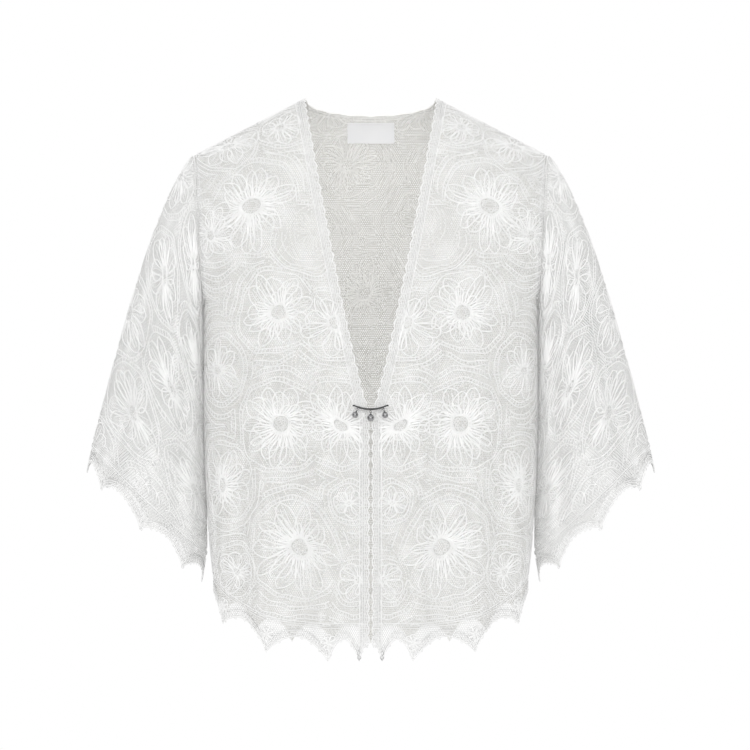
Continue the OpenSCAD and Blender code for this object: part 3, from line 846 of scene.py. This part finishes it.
def hem_edging(surf, x0, x1, cusps):
    T = Threads()
    a0, a1 = (surf.from_xd(x, 500.0)[0] for x in (x0, x1))
    a = np.linspace(a0, a1, int((a1 - a0) / 2.1))
    x, _, _ = surf.to_xd(np.stack([a, 560 + 0 * a], 1))
    low = hem_lines(x, cusps)
    top = shoulder_z(x) - (hem_base(x) + HEM_BAND)
    s = swell(x, cusps)
    body_cord(T, surf, x, low - 0.6, 1.9, 1.6)
    body_cord(T, surf, x, low - 4.6, 1.0, 1.0)
    body_cord(T, surf, x, low - 7.4, 1.1, 1.0)
    zig = np.where(np.arange(len(x)) % 2 == 0, 0.0, 3.6)
    body_cord(T, surf, x, low - 7.6 - zig, 0.9, 0.9)
    body_cord(T, surf, x, top, 1.3, 1.2)
    body_cord(T, surf, x, top + 2.6, 0.9, 0.9)
    body_cord(T, surf, x, np.minimum(top + 5.2, low - 11.4), 1.1, 1.0)
    ladder(T, surf, x, low - 0.6, x, low - 4.6, 2)
    ladder(T, surf, x, top, x, top + 2.6, 2)
    for k in range(4, len(x) - 4, 6):
        if s[k] > 0.25:
            c = surf.from_xd(x[k], low[k] + 1.0)
            T.cord(ring_pts(c, 1.3, 1.4), 0.8, 0.9, 0.5, True, False)
    for c0 in cusps:
        for sgn in (-1, 1):
            xc = sgn * c0
            if not (min(x0, x1) - 0.5 <= xc <= max(x0, x1) - 3) or (c0 == 0 and sgn < 0):
                continue
            dl = float(shoulder_z(xc) - hem_base(xc))
            c = surf.from_xd(xc, dl - 20.0)
            if c0 > 20 or surf.back:
                flower(T, c, 9.5, turn=0.3, n=7)
            e = surf.from_xd(xc, dl - 3.4)
            T.cord(ring_pts(e, 2.0, 1.7), 1.3, 1.3, 0.5, True, False)
            T.cord(ring_pts(e - [0, 4.8], 2.2, 1.6), 1.2, 1.2, 0.5, True, False)
            T.cord([e + [0, 1.6], e + [0, 3.8]], 1.5, 1.5, 0.4)
    T.wait = [(*cord[:-1], False) for cord in T.wait]
    T.flush(surf)
    return T.arrays()


def neck_edging():
    T = Threads(0.0)
    b = np.linspace(-89.5, 89.5, 101)
    c = cos(b)
    lines = {}
    for key, off, wide in (("edge", 0.0, 0.0), ("mid", 0.45, 0.45), ("low", 1.0, 1.0)):
        sc = 1.2 * (1 - np.abs(sin(b * 9))) * np.minimum(1, c * 3) if key == "edge" else 0
        ang = neck_edge_a(c) + 6.3 * c * off + sc
        lines[key] = ((NECK + EDGING * wide) * sin(b), ROLL * (1 - cos(ang)))
    body_cord(T, BACK, *lines["edge"], 1.8, 1.6)
    body_cord(T, BACK, *lines["mid"], 1.1, 1.1)
    body_cord(T, BACK, *lines["low"], 1.5, 1.4)
    ladder(T, BACK, *lines["edge"], *lines["mid"], 2)
    mx, md = lines["mid"]
    lx, ld = lines["low"]
    z = (np.arange(len(b)) % 2 == 0)
    body_cord(T, BACK, np.where(z, mx, lx), np.where(z, md, ld), 1.0, 1.0)
    T.flush(BACK)
    return T.arrays()


class CuffSurface:
    """(th, off): off mm above the points of the sleeve's scallops."""

    def __call__(self, ab):
        th, off = np.mod(ab[:, 0], 360), ab[:, 1]
        v = 2 - off / CUFF_BAND
        p, n = ARM.frame(th, v)
        return p, n, np.ones(len(p), bool)


def cuff_low(th):
    return CUFF_SCALLOP * np.power(np.abs(sin(th * CUFF_WAVES / 2)), 0.8)


def cuff_edging():
    T = Threads()
    th = np.linspace(0, 360, 209)[:-1]
    low = cuff_low(th)

    def line(off, w, h):
        T.cord(np.stack([th, off], 1), w, h, 0.5, True, False)

    line(low + 0.6, 1.9, 1.6)
    line(low + 4.4, 1.0, 1.0)
    line(low + 7.2, 1.1, 1.0)
    zig = np.where(np.arange(len(th)) % 2 == 0, 0.0, 3.2)
    line(low + 7.4 + zig, 0.9, 0.9)
    line(CUFF_BAND + 0 * th, 1.3, 1.2)
    line(CUFF_BAND - 2.6 + 0 * th, 0.9, 0.9)
    for k in range(0, len(th), 2):
        T.cord([[th[k], low[k] + 0.6], [th[k], low[k] + 4.4]], 0.9, 0.8, 0.45, clip=False)
        T.cord([[th[k], CUFF_BAND], [th[k], CUFF_BAND - 2.6]], 0.9, 0.8, 0.45, clip=False)
    mm_per_deg = ARM.round / 360

    def loop(at, off, r, step, w, h):
        q = ring_pts((0, 0), r, step)
        T.cord(np.stack([at + q[:, 0] / mm_per_deg, q[:, 1] + off], 1), w, h, 0.5, True, False)

    for k in range(CUFF_WAVES):
        t0 = 360.0 * k / CUFF_WAVES
        for off, r in ((1.2, 2.3), (6.0, 1.8)):
            loop(t0, off, r, 1.7, 1.2, 1.2)
        for f in range(7):
            a = 2 * math.pi * f / 7 + 0.3
            tip = np.array([t0 + 8.6 * math.cos(a) / mm_per_deg, 18 + 8.6 * math.sin(a)])
            m = np.array([t0 + 2.6 * math.cos(a) / mm_per_deg, 18 + 2.6 * math.sin(a)])
            s = np.linspace(0, 1, 6)
            side = np.array([-math.sin(a) / mm_per_deg, math.cos(a)]) * 2.4
            hw = np.sin(np.pi * s ** 0.8)[:, None] * side
            mid = m + np.outer(s, tip - m)
            T.cord(np.concatenate([mid + hw, (mid - hw)[-2:0:-1]]), 1.1, 1.0, 0.4, True, False)
        for f in range(2, 9):
            t1 = t0 + 45.0 * f / 10
            loop(t1, float(cuff_low(t1)) - 0.9, 1.25, 1.4, 0.8, 0.9)
    T.flush(CuffSurface())
    return T.arrays()


# ---------------------------------------------------------------- net sheets
def sheet_quads(m, n, wrap=False):
    i, j = np.meshgrid(np.arange(m - 1), np.arange(n if wrap else n - 1), indexing="ij")
    k = (j + 1) % n
    return np.stack([i * n + j, i * n + k, (i + 1) * n + k, (i + 1) * n + j], -1).reshape(-1, 4)


def cloth_area(V, Q):
    a = np.linalg.norm(np.cross(V[Q[:, 2]] - V[Q[:, 0]], V[Q[:, 3]] - V[Q[:, 1]]), axis=1)
    return float(a.sum()) / 2 * 1e-6


def step_d(t, split, low):
    return np.where(t <= split, ROLL * (1 - cos(90 * np.minimum(t, split) / split)),
                    ROLL + (low - ROLL) * (t - split) / (1 - split))


def front_net(rows=110, cols=64):
    t = np.linspace(0, 1, rows)[:, None]
    s = sin(90 * np.linspace(0, 1, cols))[None, :]
    d0 = step_d(t, 0.24, 600.0)
    x0 = vee_x(d0) + 1.2 + (arm_x(d0) - vee_x(d0) - 1.2) * s
    low = hem_lines(x0, FRONT_CUSPS) - 1.0
    d = step_d(t + 0 * x0, 0.24, low)
    x = vee_x(d) + 1.2 + (arm_x(d) - vee_x(d) - 1.2) * s
    p = FRONT.point(x, d).reshape(-1, 3)
    return p, sheet_quads(rows, cols), FRONT.from_xd(x, d).reshape(-1, 2)


def back_net(rows=110, cols=121):
    t = np.linspace(0, 1, rows)[:, None]
    s = sin(90 * np.linspace(-1, 1, cols))[None, :]
    x = arm_x(step_d(t, 0.26, 600.0)) * s
    c = np.sqrt(np.clip(1 - (x / (NECK + 1)) ** 2, 0, 1))
    a0 = np.where(np.abs(x) < NECK + 1, neck_edge_a(c) + 0.8 * c, 0)
    low = hem_lines(x, BACK_CUSPS) - 1.0
    d = np.where(t <= 0.26, ROLL * (1 - cos(a0 + (90 - a0) * np.minimum(t, 0.26) / 0.26)),
                 step_d(t + 0 * x, 0.26, low))
    p = BACK.point(x, d)
    return p.reshape(-1, 3), sheet_quads(rows, cols), BACK.from_xd(x, d).reshape(-1, 2)


def sleeve_net(rows=84, cols=120):
    t = np.linspace(0, 1, rows)[:, None]
    th = (np.arange(cols) * 360 / cols)[None, :] + 0 * t
    low = 2 - (cuff_low(th) + 1.0) / CUFF_BAND
    band = 0.12
    v = np.where(t <= 1 - band, t / (1 - band), 1 + (low - 1) * (t - 1 + band) / band)
    p = sleeve_point(th, v)
    run = np.where(v <= 1, v * ARM.long, ARM.long + (v - 1) * CUFF_BAND)
    ab = np.stack([th / 360 * ARM.round, run], -1)
    return p.reshape(-1, 3), sheet_quads(rows, cols, True), ab.reshape(-1, 2)


# ---------------------------------------------------------------- the cloth
UNDER = np.array([CHEST, 0, float(shoulder_z(np.array(CHEST))) - ARMHOLE]) * MM


def on_front(ob, side):
    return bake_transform(ob)


def on_sleeve(ob, side):
    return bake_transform(ob)


def two_sided(name, arrays, mat, slot_name, place, node_name, around=0.0):
    """The left piece and its mirror on the right."""
    out = {}
    V, F, UV = arrays
    for side in ("left", "right"):
        v, f = (V, F) if side == "left" else mirrored(V, F)
        ob = dress(build(f"{name}_{side}", v, f, UV, around=around), mat, slot_name)
        place(ob, side)
        if node_name:
            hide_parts(f"{node_name}_{side}")
        out[side] = ob
    return out


fnet_arrays = front_net()
front_sheets = two_sided("front_cloth", fnet_arrays, WHITE_NET, "lace", on_front, "front_panel")
front_flowers = two_sided("front_flowers", front_lace(), THREAD, "lace", on_front, None)
front_edges = two_sided("front_edging", front_edging(), THREAD, "edging_lace", on_front,
                        "front_trim")
front_hems = two_sided("front_hem_edging",
                       hem_edging(FRONT, EDGE_GAP + 0.6, BODY - 0.5, FRONT_CUSPS),
                       THREAD, "edging_lace", on_front, "hem_trim_front")

snet_arrays = sleeve_net()
sleeve_sheets = two_sided("sleeve_cloth", snet_arrays, WHITE_NET, "lace", on_sleeve, "sleeve",
                          ARM.round)
sleeve_flowers = two_sided("sleeve_flowers", sleeve_lace(), THREAD, "lace", on_sleeve, None)
cuff_edges = two_sided("cuff_edging", cuff_edging(), THREAD, "edging_lace", on_sleeve, "cuff_trim")


def back_piece(name, arrays, mat, slot_name, node_name=None):
    V, F, UV = arrays
    ob = dress(build(name, V, F, UV), mat, slot_name)
    if node_name:
        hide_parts(node_name)
    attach(ob, "garment")
    return ob


bnet_arrays = back_net()
back_sheet = back_piece("back_cloth", bnet_arrays, BACK_NET_PAINTED_SHADE, "lace", "back_panel")
back_flowers = back_piece("back_flowers", back_lace(), BACK_THREAD_PAINTED_LIGHT, "lace")
neck_edge = back_piece("back_neck_edging", neck_edging(), BACK_THREAD_PAINTED_LIGHT, "edging_lace",
                       "back_neck_trim")
back_hem = back_piece("back_hem_edging", hem_edging(BACK, -BODY + 0.5, BODY - 0.5, BACK_CUSPS),
                      BACK_THREAD_PAINTED_LIGHT, "edging_lace", "hem_trim_back")


# ---------------------------------------------------------------- seams
def across(T):
    """Two directions square to each unit direction in T."""
    up = np.where(np.abs(T[:, 1:2]) > 0.8, np.array([[0, 0, 1.0]]), np.array([[0, 1.0, 0]]))
    p = np.cross(T, up)
    p /= np.linalg.norm(p, axis=1, keepdims=True)
    return p, np.cross(T, p)


def tube(path, r, sides):
    """Vertices, quads, uv and end triangles of a round cord through path, in mm."""
    path = np.asarray(path, float)
    m = len(path)
    T = np.gradient(path, axis=0)
    T /= np.linalg.norm(T, axis=1, keepdims=True)
    p, q = across(T)
    t = np.arange(sides) * 360 / sides
    V = path[:, None, :] + r * (
        cos(t)[None, :, None] * p[:, None, :] + sin(t)[None, :, None] * q[:, None, :])
    V = np.concatenate([V.reshape(-1, 3), path[:1], path[-1:]])
    a, b = len(V) - 2, len(V) - 1
    tris = []
    for k in range(sides):
        l = (k + 1) % sides
        tris += [(a, l, k), (b, (m - 1) * sides + k, (m - 1) * sides + l)]
    uv = np.stack([np.tile(t / 40, m), np.repeat(np.arange(m) * 2.0, sides)], 1)
    return V, sheet_quads(m, sides, True), np.concatenate([uv, uv[:1], uv[-1:]]), np.array(tris)


def merge(parts):
    V, F, U, T, at = [], [], [], [], 0
    for v, f, u, t in parts:
        V.append(v)
        F.append(f + at)
        U.append(u)
        T.append(t + at)
        at += len(v)
    return np.concatenate(V), np.concatenate(F), np.concatenate(U), np.concatenate(T)


def overlock(path, r, closed=False):
    """A seam: a core thread with a looped thread wound round it."""
    path = np.asarray(path, float)
    if closed:
        path = np.concatenate([path, path[:1]])
    run = np.concatenate([[0], np.cumsum(np.linalg.norm(np.diff(path, axis=0), axis=1))])
    s = np.arange(0, run[-1], 1.1)
    core = np.stack([np.interp(s, run, path[:, k]) for k in range(3)], 1)
    T = np.gradient(core, axis=0)
    T /= np.linalg.norm(T, axis=1, keepdims=True)
    p, q = across(T)
    wind = s / 4.4 * 360
    coil = core + r * 0.8 * (cos(wind)[:, None] * p + sin(wind)[:, None] * q)
    return merge([tube(core[::3], r * 0.62, 6), tube(coil, r * 0.34, 5)])


SEAM_R = 0.9


def seam(name, side, path, node_name, closed=False):
    V, F, U, T = overlock(path, SEAM_R, closed)
    if side == "right":
        V, F, T = V * np.array([-1, 1, 1]), F[:, ::-1], T[:, ::-1]
    ob = dress(build(f"{name}_{side}", V, F, U, T), SEAM, "seam_thread")
    if name == "sleeve_stitching":
        on_sleeve(ob, side)
    else:
        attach(ob, "garment")
    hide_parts(f"{node_name}_{side}")


for side in ("left", "right"):
    x = np.linspace(NECK + 3, SHOULDER - 1, 40)
    seam("shoulder_stitching", side, np.stack([x, 0.6 + 0 * x, shoulder_z(x) - 0.9], 1),
         "shoulder_seam")
    d = np.linspace(ARMHOLE + 4, 520, 60)
    seam("side_stitching", side,
         np.stack([side_x(d) - 1.0, 0.8 + 0 * d, shoulder_z(side_x(d)) - d], 1), "side_seam")
    seam("armhole_stitching", side, arm_ring(np.linspace(0, 360, 121)[:-1], -0.8, 0.985),
         "armhole_seam", closed=True)
    under = sleeve_point(np.full(60, 180.0), np.linspace(0.04, 0.97, 60))
    seam("sleeve_stitching", side, under + np.array([0.8, 0, 0.4]), "sleeve_seam")


# ---------------------------------------------------------------- label
LABEL_STITCHES = 16


def neck_label():
    lo, hi = (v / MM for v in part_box("neck_label"))
    half = (hi.x - lo.x) / 2
    a0 = math.degrees(math.acos(1 - 22 / ROLL))
    a1 = math.degrees(math.acos(1 - 44 / ROLL))
    m, n = 12, 30
    t = np.linspace(0, 1, m)[:, None]
    x = np.linspace(-half, half, n)[None, :] + 0 * t
    d = ROLL * (1 - cos(a0 + (a1 - a0) * t)) + 0 * x
    p, nn = BACK.frame(x, d)
    curl = 1.6 + 1.6 * t + 0.5 * sin(x * 6) * t
    face = (p - nn * curl[..., None]).reshape(-1, 3)
    rear = (p - nn * (curl[..., None] - 0.5)).reshape(-1, 3)
    k = m * n
    Q = sheet_quads(m, n)
    idx = np.arange(k).reshape(m, n)
    loop = np.concatenate([idx[0, :], idx[1:, -1], idx[-1, -2::-1], idx[-2:0:-1, 0]])
    nxt = np.roll(loop, -1)
    rim = np.stack([loop, loop + k, nxt + k, nxt], 1)
    uv = np.stack([x, d], -1).reshape(-1, 2)
    ob = build("blank_label", np.concatenate([face, rear]),
               np.concatenate([Q, Q[:, ::-1] + k, rim]), np.concatenate([uv, uv]), smooth=False)
    dress(ob, LABEL, "label_satin")
    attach(ob, "garment")
    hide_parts("neck_label")
    parts = []
    for stitch in range(LABEL_STITCHES):
        j = 1 + int((n - 3) * stitch / (LABEL_STITCHES - 1))
        mid = face[j] * 0.5 + face[n + j] * 0.5
        e = face[j + 1] - face[j]
        e /= np.linalg.norm(e)
        lift = -nn.reshape(-1, 3)[j] * 0.25
        parts.append(tube([mid - e * 0.9 + lift, mid + lift * 1.6, mid + e * 0.9 + lift],
                          0.22, 6))
    V, F, U, T = merge(parts)
    st = dress(build("label_stitches", V, F, U, T), SEAM, "seam_thread")
    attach(st, "garment")
    return ob, st


label, label_stitches = neck_label()


# ---------------------------------------------------------------- brooch
BAR_RADIUS, BAR_THICK = 44.5, 2.3
RING_RADIUS, RING_WIRE, RING_GAP = 1.25, 0.25, 16.0


def closed_rings(m, k):
    """Quads of m rings of k points, and the triangles to the two points after them."""
    i, j = np.meshgrid(np.arange(m - 1), np.arange(k), indexing="ij")
    l = (j + 1) % k
    F = np.stack([i * k + j, (i + 1) * k + j, (i + 1) * k + l, i * k + l], -1).reshape(-1, 4)
    tris = [(m * k, j, (j + 1) % k) for j in range(k)]
    tris += [(m * k + 1, (m - 1) * k + (j + 1) % k, (m - 1) * k + j) for j in range(k)]
    return F, tris


def brooch():
    """The bar: an arc with rounded section, thinner towards its ends."""
    lo, hi = (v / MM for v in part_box("brooch_bar"))
    R = BAR_RADIUS
    half = (hi.x - lo.x) / 2
    y = (hi.y + lo.y) / 2
    deep = (hi.y - lo.y) / 2
    mid_t = BAR_THICK / 2
    arc_z = lo.z + mid_t + R
    t = np.linspace(-1, 1, 61)
    a = np.degrees(np.arcsin(half / R)) * t
    thick = mid_t * (0.55 + 0.45 * np.sqrt(1 - 0.98 * t ** 2))
    m, k = len(t), 20
    ang = np.arange(k) * 360 / k
    ca, sa = cos(ang), sin(ang)
    ca = np.sign(ca) * np.abs(ca) ** 0.8
    sa = np.sign(sa) * np.abs(sa) ** 0.8
    C = np.stack([R * sin(a), y + 0 * a, arc_z - R * cos(a)], 1)
    out = np.stack([sin(a), 0 * a, -cos(a)], 1)
    V = C[:, None, :] + thick[:, None, None] * ca[None, :, None] * out[:, None, :]
    V[..., 1] += deep * sa[None, :]
    V = np.concatenate([V.reshape(-1, 3), C[:1], C[-1:]])
    F, tris = closed_rings(m, k)
    bar = dress(build("curved_bar", V, F, None, tris), BLACK, "bar_black")
    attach(bar, "front_right")
    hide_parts("brooch_bar")


brooch()


def ball(r, dimple):
    """A turned bead: a round body with a soft dimple at the drilled pole."""
    k = 40
    lat = np.linspace(0, 180, 29)[1:-1]
    t = np.arange(k) * 360 / k
    rr = r * (1 - dimple * np.exp(-(lat / 14) ** 2))
    ring = np.stack([np.outer(rr * sin(lat), cos(t)), np.outer(rr * sin(lat), sin(t)),
                     np.outer(rr * cos(lat), np.ones(k))], -1)
    V = np.concatenate([ring.reshape(-1, 3), [[0, 0, r * (1 - dimple)], [0, 0, -r]]])
    return V, *closed_rings(len(lat), k)


def mid_of(name):
    lo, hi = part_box(name)
    return np.array((lo + hi) / 2) / MM


def cap_rings(k):
    """The bead cap as rings: down its outside, then back up its inside."""
    t = np.arange(k) * 360 / k
    prof = ((0.45, 0.95), (0.75, 0.85), (0.95, 0.5), (1.25, 0.15), (1.55, -0.25), (1.75, -0.72))
    outer = [(r, z, q == len(prof) - 1) for q, (r, z) in enumerate(prof)]
    inner = [(max(r - 0.22, 0.12), z - 0.16, rim) for r, z, rim in outer[::-1]]
    return [np.stack([r * cos(t), r * sin(t), z + (0.16 * np.abs(sin(t * 3)) if rim else 0 * t)],
                     1) for r, z, rim in outer + inner]


def drop_piece(name, arrays, mat, slot_name, body, node_name):
    ob = dress(build(name, *arrays), mat, slot_name)
    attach(ob, body)
    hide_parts(node_name)


def drop(side):
    """A bead with its cap, and the ring that they hang from."""
    c_bead = mid_of("bead_" + side)
    up = mid_of("bead_eye_" + side) - c_bead
    tilt = math.atan2(up[0], up[2])
    rot = np.array([[math.cos(tilt), 0, math.sin(tilt)], [0, 1, 0],
                    [-math.sin(tilt), 0, math.cos(tilt)]])
    lo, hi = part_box("bead_" + side)
    V, F, T = ball((hi.x - lo.x) / MM / 2, 0.03)
    drop_piece(f"bead_{side}_body", (V @ rot.T + c_bead, F, None, T), PEARL, "bead_pearl",
               "drop_" + side, "bead_" + side)
    k = 48
    rings = cap_rings(k)
    m = len(rings)
    i, j = np.meshgrid(np.arange(m), np.arange(k), indexing="ij")
    l, n = (j + 1) % k, (i + 1) % m
    F = np.stack([i * k + j, n * k + j, n * k + l, i * k + l], -1).reshape(-1, 4)
    V = np.concatenate(rings) @ rot.T + mid_of("bead_cap_" + side)
    drop_piece(f"bead_cap_{side}_turned", (V, F), DARK, "ring_metal", "drop_" + side,
               "bead_cap_" + side)
    a = np.linspace(RING_GAP / 2, 360 - RING_GAP / 2, 60)
    path = RING_RADIUS * np.stack([cos(a), 0 * a, sin(a)], 1) @ rot.T + mid_of("jump_ring_" + side)
    drop_piece(f"jump_ring_{side}_wire", tube(path, RING_WIRE, 12), DARK, "ring_metal",
               "ring_" + side, "jump_ring_" + side)


for side in ("right", "middle", "left"):
    drop(side)
    dress(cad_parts["bead_eye_" + side], DARK, "ring_metal")
for name, mat, sl in (("bar_tips", BLACK, "bar_black"), ("bar_loops", DARK, "ring_metal"),
                      ("hinge_post", STEEL, "pin_steel"), ("catch_housing", STEEL, "pin_steel"),
                      ("pin_stem", STEEL, "pin_steel"), ("catch_roller", STEEL, "pin_steel")):
    dress(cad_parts[name], mat, sl)

# ---------------------------------------------------------------- flat size and area of the sleeve cloth, worked out and not kept
def flat_size(uv, around=0.0):
    """Width and length of the cut piece in metres, from its cloth coordinates."""
    w, l = (uv.max(0) - uv.min(0)) * MM
    return (round(float(around * MM if around else w), 3), round(float(l), 3))


for side in ("left", "right"):
    flat_size(snet_arrays[2], ARM.round)
    round(cloth_area(*snet_arrays[:2]), 4)

# ---------------------------------------------------------------- studio
scene = bpy.context.scene
scene.view_settings.view_transform = "Standard"
scene.view_settings.look = "None"
scene.cycles.transparent_max_bounces = 24

world = bpy.data.worlds.new("studio")
scene.world = world
world.use_nodes = True
SKY = world.node_tree.nodes["Background"].inputs
SKY["Color"].default_value = (1, 1, 1, 1)
SKY["Strength"].default_value = 1.0

lo, hi = CAD_BOX
centre = Vector(((lo[0] + hi[0]) / 2, (lo[1] + hi[1]) / 2, (lo[2] + hi[2]) / 2))
width = hi[0] - lo[0]

bpy.ops.mesh.primitive_plane_add(size=2.2, location=(0, 0, lo[2] - 0.3))
floor = bpy.context.object
floor.name = "floor"
fm, ft, fb = material("pale_floor", (0.86, 0.86, 0.86), 0.8)
tint(ft, fb, node(ft, "ShaderNodeTexCoord").outputs["Object"], 3, (0.84, 0.84, 0.84),
     (0.88, 0.88, 0.88))
floor.data.materials.append(fm)


def area_light(name, loc, size, power):
    L = bpy.data.lights.new(name, "AREA")
    L.size = size
    L.energy = power
    ob = bpy.data.objects.new(name, L)
    ob.location = loc
    ob.rotation_euler = (centre - Vector(loc)).to_track_quat("-Z", "Y").to_euler()
    scene.collection.objects.link(ob)


def dark_card(name, loc):
    """A card that only reflections see, so that the brooch has dark edges."""
    bpy.ops.mesh.primitive_plane_add(size=2.4, location=loc)
    ob = bpy.context.object
    ob.name = name
    ob.rotation_euler = (centre - Vector(loc)).to_track_quat("Z", "Y").to_euler()
    cm, ct, cb = material(name, (0.01, 0.01, 0.01), 0.9)
    tint(ct, cb, node(ct, "ShaderNodeTexCoord").outputs["Object"], 2, (0.008, 0.008, 0.008),
         (0.012, 0.012, 0.012))
    ob.data.materials.append(cm)
    ob.visible_camera = False
    ob.visible_diffuse = False
    ob.visible_shadow = False
    ob.visible_transmission = False


dark_card("dark_card_left", (-2.4, -0.9, -0.4))
dark_card("dark_card_right", (2.4, -0.9, -0.4))
dark_card("dark_card_low", (0.0, -1.4, -2.3))
area_light("key", (-1.3, -1.9, 1.3), 1.2, 6)
area_light("fill", (0.2, -2.4, 0.2), 1.4, 16)
area_light("rim", (1.6, 1.2, 0.9), 1.0, 3)

GARMENT_SHARE = 0.76       # of the frame's width
DISTANCE = 3.4             # of the camera from the garment, in metres
SENSOR = 36
ASIDE = 0.005              # the camera stands a little to the wearer's left
cam_data = bpy.data.cameras.new("camera")
cam_data.sensor_width = SENSOR
cam_data.lens = SENSOR * DISTANCE / (width / GARMENT_SHARE)
cam = bpy.data.objects.new("camera", cam_data)
cam.location = (centre.x + ASIDE, centre.y - DISTANCE, centre.z)
cam.rotation_euler = (math.radians(90), 0, 0)
scene.collection.objects.link(cam)
scene.camera = cam
